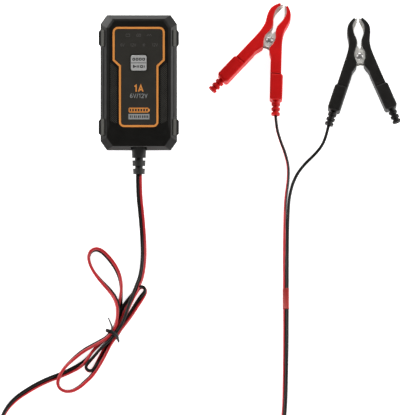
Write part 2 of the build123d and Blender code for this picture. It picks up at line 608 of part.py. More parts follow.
def wire_crimp():
    """The barrel crimped on the core at the handle's end, inside the boot."""
    barrel = round_y(TAIL_ACROSS, 0, -20.4, -STEEL_END, 1.95) - round_y(TAIL_ACROSS, 0, -21, -16, CORE_D / 2)
    return Pos(*HANDLE_AT) * Rot(Z=HANDLE_ANGLE) * barrel


def add_clip(nodes, name, place, fixed_side):
    """One clip's nine pieces. The half on fixed_side carries the wire and stays put."""

    def half(solid, side):
        return place * (mirror(solid, about=Plane.YZ) if side < 0 else solid)

    moving_side = -fixed_side
    hole_r = RIVET_R + RIVET_CLEARANCE
    nodes[name + "_jaw_fixed"] = half(steel_half(FLANGE_OUTER_Z, RIVET_R), fixed_side)
    nodes[name + "_jaw_moving"] = half(steel_half(FLANGE_INNER_Z, hole_r), moving_side)
    nodes[name + "_cover_fixed"] = half(clip_cover(FLANGE_OUTER_Z, FLANGE_OUTER_Z), fixed_side)
    nodes[name + "_cover_moving"] = half(clip_cover(FLANGE_INNER_Z, FLANGE_OUTER_Z + 0.1), moving_side)
    nodes[name + "_boot_fixed"] = half(clip_boot(FLANGE_OUTER_Z), fixed_side)
    nodes[name + "_boot_moving"] = half(clip_boot(FLANGE_INNER_Z), moving_side)
    nodes[name + "_rivet"] = place * clip_rivet()
    nodes[name + "_spring"] = half(clip_spring(), fixed_side)
    nodes[name + "_crimp"] = half(wire_crimp(), fixed_side)


def tail_mouth(place, side):
    """The end of a boot's tail on one side of a clip, where the core comes out."""
    x, y = on_handle(BOOT_LENGTH + TAIL_LENGTH, TAIL_ACROSS)
    return (place * Pos(side * x, y, 0)).position


def cord_tube(name, points, diameter):
    """A round cord along straight runs joined by tangent arcs as large as the runs allow."""
    points = [Vector(point) for point in points]
    runs = [after - before for before, after in zip(points, points[1:])]
    radii = []
    for one, two in zip(runs, runs[1:]):
        half_turn = radians(one.get_angle(two)) / 2
        radii.append(0.45 * min(one.length, two.length) / tan(half_turn))
    path = FilletPolyline(*points, radius=radii)
    tube = sweep(Plane(origin=path @ 0, z_dir=path % 0) * Circle(diameter / 2), path=path)
    share = tube.volume / (Circle(diameter / 2).area * path.length)
    print(name, "length", round(path.length, 1), "volume over section times length", round(share, 4))
    print("  radii", [round(radius) for radius in radii])
    return tube


def hank_bunch(circles):
    """The plan of one bunch of loops."""
    return make_hull([(Pos(x, y) * Circle(radius)).edge() for x, y, radius in circles])


def lead_hank():
    """The tied hank: its three bunches on the floor and the tight bundle under the tie."""
    hank = prism(hank_bunch(UPPER_LEFT_LOOP), 0, HANK_HIGH)
    hank += prism(hank_bunch(UPPER_RIGHT_LOOP), 0, HANK_HIGH)
    hank += prism(hank_bunch(LOWER_LOOPS), 0, HANK_HIGH)
    bundle = Box(BUNCH_LONG, BUNCH_WIDE, BUNCH_HIGH)
    place = Pos(*TIE_AT, TIE_THICK + BUNCH_HIGH / 2) * Rot(Z=TIE_ANGLE)
    slot = Box(TIE_WIDE, BUNCH_WIDE + 20, BUNCH_HIGH + 20)
    return hank - place * slot + place * bundle


def lead_tie():
    """The twist tie: a band round the bundle and its two twisted ends."""
    place = Pos(*TIE_AT, TIE_THICK + BUNCH_HIGH / 2) * Rot(Z=TIE_ANGLE)
    band = Box(TIE_WIDE, BUNCH_WIDE + 2 * TIE_THICK, BUNCH_HIGH + 2 * TIE_THICK)
    band -= Box(TIE_WIDE + 1, BUNCH_WIDE, BUNCH_HIGH)
    top_z = BUNCH_HIGH + 2 * TIE_THICK - 0.15
    tie = place * band
    tie += rod((TIE_AT[0] - 2.6, TIE_AT[1] + 2.2, top_z), (-24.4, -178.6, top_z), 0.7)
    return tie + rod((TIE_AT[0], TIE_AT[1], top_z), (-16.0, -196.4, top_z), 0.7)


def marker_sleeve():
    """The short shrunk sleeve on the lead."""
    half = SLEEVE_ON_LEAD_L / 2
    x, y, z = SLEEVE_ON_LEAD_X, SLEEVE_ON_LEAD_Y, SLEEVE_ON_LEAD_Z
    sleeve = round_y(x, z, y - half, y + half, SLEEVE_ON_LEAD_R)
    return sleeve - round_y(x, z, y - half - 1, y + half + 1, LEAD_D / 2)


def charger_nodes():
    """Every piece of the charger itself, in the charger's own frame."""
    nodes = {"front_cover": front_cover(), "rear_cover": rear_cover()}
    for side_name, side in (("left", -1), ("right", 1)):
        for end_name, end in (("lower", -1), ("upper", 1)):
            nodes["bumper_" + end_name + "_" + side_name] = bumper(side, end)
    nodes["accent_ring"] = accent_ring()
    nodes["front_panel"] = front_panel()
    nodes["mode_button"] = mode_button()
    nodes["switch_plunger"] = switch_plunger()
    nodes["tactile_switch"] = tactile_switch()
    nodes["main_pcb"] = main_pcb()
    nodes["pcb_screws"] = Compound(pcb_screws())
    nodes["transformer_core"] = transformer_core()
    nodes["transformer_winding"] = transformer_winding()
    nodes["mains_capacitor"] = capacitor(17.5, 13.0, 18.0, 6.0)
    nodes["output_capacitor"] = capacitor(16.5, -27.0, 14.0, 5.0)
    nodes["heatsink"] = heatsink()
    nodes["power_transistor"] = power_transistor()
    nodes["controller_chip"] = controller_chip()
    nodes["fuse"] = fuse()
    nodes["status_leds"] = Compound(status_leds())
    nodes["light_guide"] = light_guide()
    nodes["pin_carrier"] = pin_carrier()
    nodes["live_pin"] = line_pin(LINE_PITCH / 2)
    nodes["neutral_pin"] = line_pin(-LINE_PITCH / 2)
    nodes["earth_pin"] = earth_pin()
    nodes["pin_sleeves"] = Compound(pin_sleeves())
    nodes["mains_contacts"] = Compound(mains_contacts())
    nodes["case_screws"] = Compound(case_screws())
    nodes["cable_gland"] = cable_gland()
    nodes["output_tails"] = Compound(output_tails())
    nodes["rating_plate"] = rating_plate()
    return nodes


def lead_nodes():
    """The lead and what is on it, in the row frame."""
    exit_point = (STAND * Pos(0, GLAND_END_Y, GLAND_Z)).position
    nodes = {"lead_upper": cord_tube("lead_upper", [exit_point] + UPPER_ROUTE, LEAD_D)}
    nodes["lead_hank"] = lead_hank()
    nodes["lead_lower"] = cord_tube("lead_lower", LOWER_ROUTE, LEAD_D)
    nodes["lead_tie"] = lead_tie()
    nodes["marker_sleeve"] = marker_sleeve()
    red_start, black_start = tail_mouth(RED_CLIP, 1), tail_mouth(BLACK_CLIP, -1)
    nodes["positive_wire"] = cord_tube("positive_wire", [red_start] + RED_ROUTE, CORE_D)
    nodes["negative_wire"] = cord_tube("negative_wire", [black_start] + BLACK_ROUTE, CORE_D)
    return nodes


parts = {name: STAND * solid for name, solid in charger_nodes().items()}
lows = [solid.bounding_box().min for solid in parts.values()]
highs = [solid.bounding_box().max for solid in parts.values()]
for axis in "XYZ":
    low, high = min(getattr(v, axis) for v in lows), max(getattr(v, axis) for v in highs)
    print("charger", axis, round(low, 2), round(high, 2), "middle", round((low + high) / 2, 2))
parts.update(lead_nodes())
add_clip(parts, "red_clip", RED_CLIP, 1)
add_clip(parts, "black_clip", BLACK_CLIP, -1)

os.makedirs("parts", exist_ok=True)
for name, solid in parts.items():
    export_step(solid, "parts/" + name + ".step")
print(len(parts), "nodes; tilt", round(TILT, 3), "stand z", round(STAND_Z, 3))
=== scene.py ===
import json
import math

import bpy
from mathutils import Matrix, Vector


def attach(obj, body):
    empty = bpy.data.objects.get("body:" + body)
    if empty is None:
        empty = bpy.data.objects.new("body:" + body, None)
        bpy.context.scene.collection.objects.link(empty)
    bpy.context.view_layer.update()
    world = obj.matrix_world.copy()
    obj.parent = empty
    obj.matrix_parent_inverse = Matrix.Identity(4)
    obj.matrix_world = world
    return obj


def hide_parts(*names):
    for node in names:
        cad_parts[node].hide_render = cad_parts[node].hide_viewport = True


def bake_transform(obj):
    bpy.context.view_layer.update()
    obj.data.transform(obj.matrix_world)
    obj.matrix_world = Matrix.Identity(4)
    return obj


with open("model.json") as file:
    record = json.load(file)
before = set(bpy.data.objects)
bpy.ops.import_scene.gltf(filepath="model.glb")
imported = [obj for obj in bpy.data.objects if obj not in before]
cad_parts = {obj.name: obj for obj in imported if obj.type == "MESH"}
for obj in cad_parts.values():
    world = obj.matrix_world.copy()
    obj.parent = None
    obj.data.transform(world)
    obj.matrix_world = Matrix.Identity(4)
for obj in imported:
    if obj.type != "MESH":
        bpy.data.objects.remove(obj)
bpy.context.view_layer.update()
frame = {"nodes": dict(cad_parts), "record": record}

# A plug-in battery charger, its tied twin lead and its two crocodile clips. They lie side by
# side in one frame, with the floor at Z 0. MM turns millimetres into Blender's metres.
MM = 0.001

# The charger's own frame: X right, Y up the face, Z out of the face, origin mid-back.
TILT, STAND_Y, STAND_Z = 13.963, 11.9, 20.852
STAND = Matrix.Translation((0, STAND_Y * MM, STAND_Z * MM)) @ Matrix.Rotation(math.radians(TILT), 4, "X")
FACE_Z = 36.0
BUTTON_AT_Y, BUTTON_TOP_Z = 15.6, 37.0
GRIP_FLOOR_Z = 35.6
GRIP_CORNERS = [(16.9, 11.5), (23.0, 17.0), (23.0, -30.8), (16.9, -33.3)]
BEVEL_LINE = [(28.15, 33.02), (27.75, 33.38)]
BEVEL_LINE_Y = 27.6

# The lead: two round cores side by side. Route points are x, y and z in millimetres, where z
# is the centre of the round envelope that the pair turns in, so 2.5 rests on the floor, and
# the roll in degrees of the red core about the black one. 0 is flat with red on the left.
CORE_R = 1.25
CORE_APART = 1.22
GLAND_MOUTH = (0.0, -62.5, 18.84)
UPPER_ROUTE = [
    (0.0, -77.0, 15.24, 0), (1.9, -93.0, 9.4, 0), (3.4, -110.5, 4.4, 0), (3.9, -127.5, 2.5, 0),
    (1.9, -142.5, 2.9, -12), (-0.6, -149.2, 4.4, -24), (-2.6, -154.8, 6.0, -38),
]
# Down through the tie on top of the bundle, and round the small lower loop.
SMALL_LOWER_LOOP = [
    (-5.0, -160.4, 6.4, -58), (-7.8, -167.4, 6.5, -78), (-11.3, -177.2, 6.9, -100),
    (-14.4, -183.6, 7.3, -114), (-16.9, -187.0, 7.46, -121), (-22.7, -195.0, 7.3, -118),
    (-26.6, -198.6, 6.2, -108), (-30.9, -202.5, 4.6, -100), (-34.6, -206.8, 3.1, -96),
    (-38.6, -211.3, 2.5, -93), (-42.0, -215.4, 2.5, -92), (-41.6, -218.0, 2.5, -91),
    (-39.4, -219.6, 2.5, -89), (-36.8, -219.2, 2.5, -84), (-33.3, -214.4, 2.5, -54),
    (-30.6, -209.8, 2.5, -24), (-27.8, -204.4, 2.7, -10), (-25.0, -199.4, 3.1, -2),
]
# Up through the tie at the bottom, and round the tall upper loop on the left.
TALL_UPPER_LOOP = [
    (-22.2, -195.4, 3.4, 0), (-16.4, -187.3, 3.4, 0), (-14.6, -183.6, 2.5, 0),
    (-14.6, -178.6, 2.5, 4), (-15.2, -172.4, 2.5, 18), (-15.1, -165.6, 2.5, 48),
    (-14.3, -158.6, 2.5, 80), (-13.9, -151.4, 2.5, 95), (-14.9, -144.0, 2.5, 108),
    (-17.3, -137.4, 2.5, 118), (-20.6, -131.8, 2.5, 122), (-24.6, -126.6, 2.5, 122),
    (-29.8, -121.3, 2.5, 116), (-34.7, -119.8, 2.5, 108), (-38.7, -121.9, 2.5, 99),
    (-40.4, -126.4, 2.5, 93), (-39.4, -131.8, 2.5, 92), (-36.8, -137.4, 2.5, 96),
    (-33.0, -142.9, 2.5, 106), (-28.4, -148.2, 2.5, 120), (-23.4, -153.7, 3.1, 132),
    (-19.2, -159.8, 5.0, 132), (-16.9, -166.2, 6.8, 122), (-16.4, -172.6, 7.4, 108),
    (-17.3, -179.0, 7.7, 88),
]
# Down through the tie at the left, and round the large lower loop, over the lead's tail.
LARGE_LOWER_LOOP = [
    (-18.9, -185.4, 7.5, 66), (-24.8, -193.2, 7.4, 58), (-30.2, -196.2, 6.4, 52),
    (-36.6, -199.4, 4.8, 50), (-43.0, -202.6, 3.3, 52), (-48.6, -206.8, 2.7, 58),
    (-53.6, -211.6, 3.6, 66), (-57.8, -216.4, 5.6, 76), (-61.0, -221.0, 6.5, 86),
    (-63.2, -225.8, 6.0, 92), (-64.4, -229.9, 4.4, 95), (-62.9, -233.8, 3.1, 99),
    (-58.5, -236.3, 2.5, 105), (-52.6, -236.0, 2.5, 112), (-46.3, -232.3, 2.5, 118),
    (-41.6, -227.7, 2.5, 121), (-37.4, -223.8, 2.5, 120), (-33.4, -217.9, 2.5, 120),
    (-29.8, -211.9, 2.7, 118), (-26.6, -205.8, 3.4, 118), (-23.9, -200.4, 4.5, 118),
]
# Up through the tie at the right, and round the narrow upper loop, under the charger's strand.
NARROW_UPPER_LOOP = [
    (-21.4, -195.9, 5.4, 121), (-15.8, -187.7, 5.4, 121), (-12.2, -182.4, 4.6, 135),
    (-8.2, -176.2, 3.4, 155), (-4.4, -169.9, 2.6, 170), (-1.0, -164.2, 2.5, 178),
    (2.4, -159.2, 2.5, 208), (5.3, -154.9, 2.5, 252), (4.8, -152.2, 2.5, 264),
    (2.5, -150.9, 2.5, 272), (0.0, -151.6, 2.5, 284), (-2.4, -154.6, 2.5, 308),
    (-5.0, -158.4, 2.5, 335),
    (-8.6, -162.9, 2.5, 345), (-11.4, -166.9, 3.0, 352), (-13.6, -172.4, 4.6, 356),
    (-15.1, -177.6, 5.2, 366), (-16.9, -182.0, 4.4, 392),
]
# Down through the tie at the bottom left, and out under the large loop.
TAIL = [
    (-18.9, -185.4, 3.36, 418), (-24.6, -192.6, 3.2, 430), (-28.0, -195.2, 2.7, 440),
    (-32.0, -198.9, 2.5, 446), (-36.3, -203.0, 2.5, 446), (-39.9, -208.2, 2.5, 436),
    (-43.3, -212.4, 2.5, 400), (-47.9, -215.8, 2.5, 362), (-55.0, -219.6, 2.5, 338),
]
LOWER_ROUTE = [
    (-60.0, -222.0, 2.5, 332), (-75.1, -227.8, 2.5, 334), (-88.7, -235.6, 2.5, 330),
    (-99.2, -243.3, 2.5, 312), (-106.9, -253.4, 2.5, 286), (-111.4, -267.5, 2.5, 276),
    (-110.6, -286.5, 2.5, 285), (-101.0, -306.0, 2.5, 300), (-80.5, -323.0, 2.5, 320),
    (-52.0, -335.5, 2.5, 340), (-19.0, -341.0, 2.5, 350), (16.0, -340.0, 2.5, 350),
    (50.0, -333.0, 2.5, 345), (79.5, -319.5, 2.5, 335), (101.0, -300.5, 2.5, 320),
    (112.6, -277.5, 2.5, 312), (115.8, -252.0, 2.5, 310), (116.5, -224.5, 2.6, 318),
    (117.1, -189.0, 2.9, 324), (117.1, -138.0, 2.9, 345), (117.4, -107.0, 2.5, 372),
]
# The cores' own ways to their clips: x, y, z of the core itself.
RED_ROUTE = [
    (116.9, -82.2, 2.5), (117.9, -72.9, 1.7), (119.4, -62.6, 1.25), (119.6, -51.4, 1.25),
    (117.0, -40.6, 1.6), (113.0, -30.6, 3.1), (110.0, -20.4, 5.4), (109.33, -10.82, 6.5),
]
BLACK_ROUTE = [
    (119.5, -82.2, 2.5), (120.9, -73.6, 1.7), (123.2, -64.8, 1.25), (127.4, -56.2, 1.25),
    (133.6, -48.6, 1.25), (140.5, -42.0, 1.5), (146.4, -35.2, 2.8), (149.9, -27.2, 4.9),
    (151.75, -19.03, 6.5),
]
SLEEVE_AT_Y, SLEEVE_LENGTH, SLEEVE_WALL = -160.7, 17.0, 0.3
SLEEVE_STEPS, SLEEVE_SIDES, SLEEVE_WAIST = 30, 28, 0.1
# The red core's black band of painted shade, in degrees round the core: where it starts and ends up as
# the core turns towards its clip, its half-width in the pair and alone, and its soft edge.
SHADE_AT_FORK, SHADE_AT_CLIP = 178.0, 103.0
SHADE_HALF_PAIR, SHADE_HALF_ALONE, SHADE_EDGE = 50.0, 86.0, 16.0
# The tie lies across the bundle, whose own way there is TIE_ANGLE degrees from X.
TIE_AT, TIE_ANGLE = (-20.3, -190.6), 54.0
TIE_HALF, TIE_LOW, TIE_HIGH = 4.25, 0.46, 9.95
TIE_SQUARENESS, TIE_LEAN, TIE_STEPS = 2.7, 0.35, 48
# The twisted knot and the tie's two free ends: along the bundle, across it, and z.
KNOT_START, KNOT_STEP, KNOT_STEPS = (-0.3, 3.3, 9.9), (-0.05, 0.24, -0.13), 12
TIE_FREE_END = [(0.6, 2.4, 10.3), (3.2, 3.0, 10.4), (5.4, 6.4, 9.9), (8.0, 10.6, 9.2)]
TIE_BACK_END = [(0.2, -3.4, 9.2), (-0.5, -4.7, 8.2), (-1.2, -5.9, 6.6), (-1.9, -7.2, 5.0)]
# The clips: the rivet's place, the turn about Z, and the side of the fixed half.
CLIPS = {
    "red_clip": ((104.4, 50.8, 6.5), -22.0, 1),
    "black_clip": ((177.2, 37.4, 6.5), 2.3, -1),
}
SPRING_R, SPRING_WIRE_R, SPRING_ARM_Z, SPRING_TURNS = 2.85, 0.5, 2.4, 3.5
SPRING_ARM_END, SPRING_ARM_STEPS, SPRING_COIL_STEPS = (15.2, -19.5), 7, 84


# Materials ---------------------------------------------------------------------------------

# Depths of the finest relief, in metres.
FINE_RELIEF, BRUSHED_RELIEF = 0.00005, 0.00003
# The bumpers change from their paler strip of painted highlight to their dark edge between these
# distances from X 0.
HIGHLIGHT_END_X, EDGE_START_X = 0.0296, 0.0303


def links_of(name):
    """A new node material: its tree, its shader and its object coordinates."""
    mat = bpy.data.materials.new(name)
    mat.use_nodes = True
    tree = mat.node_tree
    shader = tree.nodes["Principled BSDF"]
    place = tree.nodes.new("ShaderNodeTexCoord")
    return mat, tree, shader, place.outputs["Object"]


def noise(tree, where, scale, detail=4.0, stretch=(1, 1, 1)):
    """A noise pattern over the object's coordinates."""
    node = tree.nodes.new("ShaderNodeTexNoise")
    node.inputs["Scale"].default_value = scale
    node.inputs["Detail"].default_value = detail
    if stretch != (1, 1, 1):
        mapping = tree.nodes.new("ShaderNodeMapping")
        mapping.inputs["Scale"].default_value = stretch
        tree.links.new(where, mapping.inputs["Vector"])
        where = mapping.outputs["Vector"]
    tree.links.new(where, node.inputs["Vector"])
    return node.outputs["Fac"]


def ranged(tree, value, low, high, from_low=0.3, from_high=0.7):
    """The value carried from one range into another."""
    node = tree.nodes.new("ShaderNodeMapRange")
    node.inputs["From Min"].default_value = from_low
    node.inputs["From Max"].default_value = from_high
    node.inputs["To Min"].default_value = low
    node.inputs["To Max"].default_value = high
    tree.links.new(value, node.inputs["Value"])
    return node.outputs["Result"]


def blended(tree, factor, colour_a, colour_b):
    """A colour between two, by the factor."""
    node = tree.nodes.new("ShaderNodeMix")
    node.data_type = "RGBA"
    for socket, colour in ((node.inputs[6], colour_a), (node.inputs[7], colour_b)):
        if isinstance(colour, tuple):
            socket.default_value = (*colour, 1.0)
        else:
            tree.links.new(colour, socket)
    tree.links.new(factor, node.inputs[0])
    return node.outputs[2]


def bumped(tree, shader, height, strength, depth):
    """Fine relief in the surface's normal."""
    node = tree.nodes.new("ShaderNodeBump")
    node.inputs["Strength"].default_value = strength
    node.inputs["Distance"].default_value = depth
    tree.links.new(height, node.inputs["Height"])
    tree.links.new(node.outputs["Normal"], shader.inputs["Normal"])


def plastic(name, colour, rough, grain=2400, relief=0.25, coat=0.0, specular=0.4, tone=0.12):
    """Moulded plastic or rubber: slight tone changes, a fine grain and uneven gloss."""
    mat, tree, shader, where = links_of(name)
    darker = tuple(c * (1 - tone) for c in colour)
    lighter = tuple(min(1.0, c * (1 + tone)) for c in colour)
    broad = noise(tree, where, 90)
    colours = blended(tree, ranged(tree, broad, 0, 1), darker, lighter)
    tree.links.new(colours, shader.inputs["Base Color"])
    fine = noise(tree, where, grain, 2.0)
    handled = noise(tree, where, 260, 3.0)
    tree.links.new(ranged(tree, handled, rough * 0.9, rough * 1.12), shader.inputs["Roughness"])
    bumped(tree, shader, fine, relief, FINE_RELIEF)
    shader.inputs["Specular IOR Level"].default_value = specular
    shader.inputs["Coat Weight"].default_value = coat
    shader.inputs["Coat Roughness"].default_value = 0.25
    return mat


def metal(name, colour, rough, brushed=(1, 1, 1), relief=0.12, metallic=1.0):
    """Plated or drawn metal: streaked gloss, faint tarnish and fine scratches."""
    mat, tree, shader, where = links_of(name)
    dull = tuple(c * 0.88 for c in colour)
    cloud = noise(tree, where, 160, 3.0)
    tree.links.new(blended(tree, ranged(tree, cloud, 0, 1), dull, colour), shader.inputs["Base Color"])
    streak = noise(tree, where, 900, 3.0, brushed)
    tree.links.new(ranged(tree, streak, rough * 0.75, rough * 1.35), shader.inputs["Roughness"])
    bumped(tree, shader, streak, relief, BRUSHED_RELIEF)
    shader.inputs["Metallic"].default_value = metallic
    return mat


def bumper_rubber(name, edge, highlight_colour):
    """The bumpers' rubber: dark at the outer edge, with a paler strip of painted highlight along the
    bevel.
    """
    mat, tree, shader, where = links_of(name)
    split = tree.nodes.new("ShaderNodeSeparateXYZ")
    tree.links.new(where, split.inputs["Vector"])
    out = tree.nodes.new("ShaderNodeMath")
    out.operation = "ABSOLUTE"
    tree.links.new(split.outputs["X"], out.inputs[0])
    # Painted highlight: the rubber is made paler inboard of the outer edge, where the bevel catches the
    # light.
    highlight_share = ranged(tree, out.outputs["Value"], 1, 0, HIGHLIGHT_END_X, EDGE_START_X)
    colours = blended(tree, highlight_share, edge, highlight_colour)
    tree.links.new(colours, shader.inputs["Base Color"])
    tree.links.new(ranged(tree, noise(tree, where, 260, 3.0), 0.38, 0.48), shader.inputs["Roughness"])
    bumped(tree, shader, noise(tree, where, 3200, 2.0), 0.12, FINE_RELIEF)
    shader.inputs["Specular IOR Level"].default_value = 0.08
    return mat


def glassy(name, colour, rough, transmission):
    """Clear or frosted moulding."""
    mat, tree, shader, where = links_of(name)
    hazy = tuple(c * 0.9 for c in colour)
    cloud = noise(tree, where, 300, 3.0)
    tree.links.new(blended(tree, ranged(tree, cloud, 0, 1), hazy, colour), shader.inputs["Base Color"])
    tree.links.new(ranged(tree, cloud, rough * 0.8, rough * 1.2), shader.inputs["Roughness"])
    shader.inputs["Transmission Weight"].default_value = transmission
    shader.inputs["IOR"].default_value = 1.5
    return mat


def core_vinyl(name, colour, gloss, shade_colour=None):
    """A core's soft vinyl, with a band of painted shade in a second colour where the mesh says so."""
    mat, tree, shader, where = links_of(name)
    darker = tuple(c * 0.8 for c in colour)
    broad = ranged(tree, noise(tree, where, 160), 0, 1)
    colours = blended(tree, broad, darker, colour)
    if shade_colour:
        shade_band = tree.nodes.new("ShaderNodeAttribute")
        shade_band.attribute_name = "shade_band"
        edge = ranged(tree, shade_band.outputs["Fac"], 0, 1, 0.4, 0.6)
        # Painted shade: the band attribute blends the red core towards black on its shaded side.
        colours = blended(tree, edge, colours, shade_colour)
    tree.links.new(colours, shader.inputs["Base Color"])
    tree.links.new(ranged(tree, noise(tree, where, 500), 0.3, 0.42), shader.inputs["Roughness"])
    bumped(tree, shader, noise(tree, where, 1500, 2.0), 0.15, FINE_RELIEF)
    shader.inputs["Specular IOR Level"].default_value = gloss
    return mat


# Every finish, by name: the record's slots, and finishes for the rivets, ribs, prints and painted shade.
MATS = {
    "case_black": plastic("case_black", (0.0095, 0.009, 0.008), 0.36, 2600, 0.14, 0.0, 0.36),
    # The bumpers' pale inboard colour is a painted highlight.
    "bumper_black": bumper_rubber("bumper_black", (0.004, 0.004, 0.004), (0.1, 0.099, 0.09)),
    "accent_orange": plastic("accent_orange", (0.86, 0.33, 0.075), 0.38, 3000, 0.1, 0.1, 0.4, 0.05),
    "panel_grey": plastic("panel_grey", (0.036, 0.034, 0.029), 0.42, 3600, 0.1, 0.0, 0.25, 0.06),
    "button_grey": plastic("button_grey", (0.47, 0.47, 0.46), 0.42, 3600, 0.12, 0.0, 0.4, 0.04),
    "switch_plastic": plastic("switch_plastic", (0.02, 0.02, 0.02), 0.5),
    "board_green": plastic("board_green", (0.012, 0.09, 0.03), 0.3, 900, 0.2, 0.3, 0.5, 0.2),
    "bright_steel": metal("bright_steel", (0.66, 0.66, 0.65), 0.28),
    "ferrite": plastic("ferrite", (0.035, 0.035, 0.04), 0.6, 1800, 0.5, 0.0, 0.4, 0.3),
    "winding_tape": plastic("winding_tape", (0.62, 0.45, 0.05), 0.3, 900, 0.1, 0.3),
    "capacitor_sleeve": plastic("capacitor_sleeve", (0.012, 0.018, 0.05), 0.25, 900, 0.1, 0.4),
    "heatsink_aluminium": metal("heatsink_aluminium", (0.72, 0.73, 0.75), 0.38, (1, 1, 0.05)),
    "chip_black": plastic("chip_black", (0.012, 0.012, 0.012), 0.5, 3000, 0.4),
    "fuse_glass": glassy("fuse_glass", (0.9, 0.93, 0.92), 0.05, 0.85),
    "led_clear": glassy("led_clear", (0.85, 0.85, 0.82), 0.3, 0.6),
    "carrier_black": plastic("carrier_black", (0.011, 0.011, 0.011), 0.42, 3000, 0.2),
    "pin_brass": metal("pin_brass", (0.78, 0.7, 0.5), 0.24, (1, 1, 0.08)),
    "sleeve_black": plastic("sleeve_black", (0.01, 0.01, 0.01), 0.4, 3000, 0.15),
    "gland_rubber": plastic("gland_rubber", (0.032, 0.032, 0.03), 0.5, 2000, 0.3, 0.0, 0.4),
    "label_silver": metal("label_silver", (0.62, 0.62, 0.62), 0.4, (0.04, 1, 1)),
    "tie_black": plastic("tie_black", (0.011, 0.011, 0.011), 0.45, 2400, 0.3),
    "shrink_red": plastic("shrink_red", (0.42, 0.028, 0.024), 0.34, 900, 0.25, 0.2, 0.45, 0.2),
    "clip_red": plastic("clip_red", (0.64, 0.0085, 0.0085), 0.44, 1500, 0.12, 0.0, 0.16, 0.1),
    "clip_black": plastic("clip_black", (0.0135, 0.0125, 0.0115), 0.44, 1500, 0.14, 0.0, 0.22, 0.3),
    "nickel_steel": metal("nickel_steel", (0.92, 0.9, 0.85), 0.42, (1, 1, 1), 0.05, 0.35),
    "rivet_nickel": metal("rivet_nickel", (0.42, 0.41, 0.4), 0.36, (1, 1, 1), 0.04, 0.7),
    "spring_steel": metal("spring_steel", (0.62, 0.61, 0.6), 0.3),
    # The red core's black band is painted shade.
    "core_red": core_vinyl("core_red", (0.63, 0.026, 0.034), 0.5, (0.012, 0.008, 0.008)),
    "core_black": core_vinyl("core_black", (0.007, 0.0068, 0.0062), 0.3),
    "grip_black": plastic("grip_black", (0.06, 0.057, 0.05), 0.5, 2600, 0.1),
    "print_faint": plastic("print_faint", (0.085, 0.08, 0.075), 0.5, 3600, 0.1, 0.0, 0.3, 0.05),
    "print_pale": plastic("print_pale", (0.33, 0.34, 0.34), 0.5, 3600, 0.1, 0.0, 0.3, 0.05),
    # Dark print, also used as painted shade in the button's groove and along the side bevels.
    "dark_print_and_painted_shade": plastic("dark_print_and_painted_shade", (0.006, 0.006, 0.006), 0.6, 3600, 0.1, 0.0, 0.2, 0.05),
}


def paint(obj, mat):
    """Gives an object one material."""
    obj.data.materials.clear()
    obj.data.materials.append(mat)


def dress_cad():
    """Every CAD node takes its record slot's material, and the rivets take rivet_nickel."""
    for part in frame["record"]["subparts"]:
        finish = "rivet_nickel" if part["node"].endswith("_rivet") else part["material_slot"]
        paint(frame["nodes"][part["node"]], MATS[finish])


# Mesh helpers ------------------------------------------------------------------------------

def add_mesh(name, points, faces, mat, smooth=True):
    """A new mesh object from its points and faces, with one material."""
    mesh = bpy.data.meshes.new(name)
    mesh.from_pydata([tuple(p) for p in points], [], faces)
    mesh.validate()
    mesh.shade_smooth() if smooth else mesh.shade_flat()
    obj = bpy.data.objects.new(name, mesh)
    bpy.context.scene.collection.objects.link(obj)
    mesh.materials.append(mat)
    return obj


def nurbs_line(points):
    """The points along a smooth NURBS line that has these as its control points."""
    curve = bpy.data.curves.new("route", "CURVE")
    curve.dimensions = "3D"
    curve.resolution_u = 10
    spline = curve.splines.new("NURBS")
    spline.points.add(len(points) - 1)
    for point, place in zip(spline.points, points):
        point.co = (*place, 1.0)
    spline.order_u = 3
    spline.use_endpoint_u = True
    holder = bpy.data.objects.new("route", curve)
    bpy.context.scene.collection.objects.link(holder)
    bpy.context.view_layer.update()
    mesh = bpy.data.meshes.new_from_object(holder)
    line = [vertex.co.copy() for vertex in mesh.vertices]
    bpy.data.meshes.remove(mesh)
    bpy.data.objects.remove(holder)
    bpy.data.curves.remove(curve)
    return line


def tangents(line):
    """The direction of a line at each of its points."""
    last = len(line) - 1
    return [(line[min(i + 1, last)] - line[max(i - 1, 0)]).normalized() for i in range(last + 1)]


def skin(rings, closed=False):
    """Faces over a run of equal rings, with flat caps unless the run closes on itself."""
    count, total = len(rings[0]), len(rings)
    points = [p for ring in rings for p in ring]
    faces = []
    for i in range(total if closed else total - 1):
        here, ahead = i * count, (i + 1) % total * count
        for j in range(count):
            k = (j + 1) % count
            faces.append((here + j, here + k, ahead + k, ahead + j))
    if not closed:
        faces.append(tuple(range(count))[::-1])
        faces.append(tuple((total - 1) * count + j for j in range(count)))
    return points, faces


def round_rings(line, radius, count=14, sides=None):
    """Rings of a round tube along a line, whose first points are on the given sides."""
    rings = []
    side = None
    for i, (place, ahead) in enumerate(zip(line, tangents(line))):
        if sides:
            side = sides[i]
        elif side is None:
            side = ahead.cross(Vector((0, 0, 1)))
            side = side if side.length > 0.1 else ahead.cross(Vector((1, 0, 0)))
        side = (side - ahead * side.dot(ahead)).normalized()
        over = ahead.cross(side)
        turns = [2 * math.pi * j / count for j in range(count)]
        rings.append([place + (side * math.cos(t) + over * math.sin(t)) * radius for t in turns])
    return rings


# The lead ----------------------------------------------------------------------------------

def twin_points(own):
    """Control points, with roll, seat and spread beside them, for one core's whole way."""
    shared = [(*GLAND_MOUTH, 0)] + UPPER_ROUTE + SMALL_LOWER_LOOP + TALL_UPPER_LOOP
    shared += LARGE_LOWER_LOOP + NARROW_UPPER_LOOP + TAIL + LOWER_ROUTE
    places = [Vector(p[:3]) * MM for p in shared] + [Vector(p) * MM for p in own]
    rolls = [p[3] for p in shared] + [360.0] * len(own)
    seats = [0.0, 0.0, 0.5] + [1.0] * (len(shared) - 3) + [1.0, 0.36] + [0.0] * (len(own) - 2)
    spread = [1.0] * len(shared) + [0.0] * len(own)
    return places, [(math.radians(r), s, w) for r, s, w in zip(rolls, seats, spread)]


